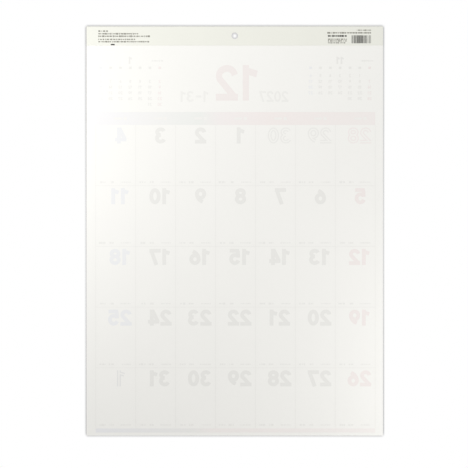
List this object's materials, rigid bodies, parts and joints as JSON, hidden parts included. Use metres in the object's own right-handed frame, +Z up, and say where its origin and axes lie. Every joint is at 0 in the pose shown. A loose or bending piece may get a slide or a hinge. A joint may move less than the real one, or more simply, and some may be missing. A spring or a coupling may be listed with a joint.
{
  "type": "wall calendar",
  "caption": "Hanging wall calendar: a pad of large month sheets held along the top edge by a folded card strip, with one punched hole at the centre for a nail.",
  "frame": {"origin": "centre of the hanging hole, on the wall side of the card strip", "axes": "+Z up as it hangs, -Y out of the printed side towards the reader, +Y towards the wall, +X to the reader's right"},
  "size_m": [0.38, 0.0058, 0.525],
  "materials": {
    "header_card": "matt",
    "sheet_paper": "matt"
  },
  "bodies": {
    "root": {"header_strip": "header_card", "month_sheets": "sheet_paper"}
  },
  "joints": []
}
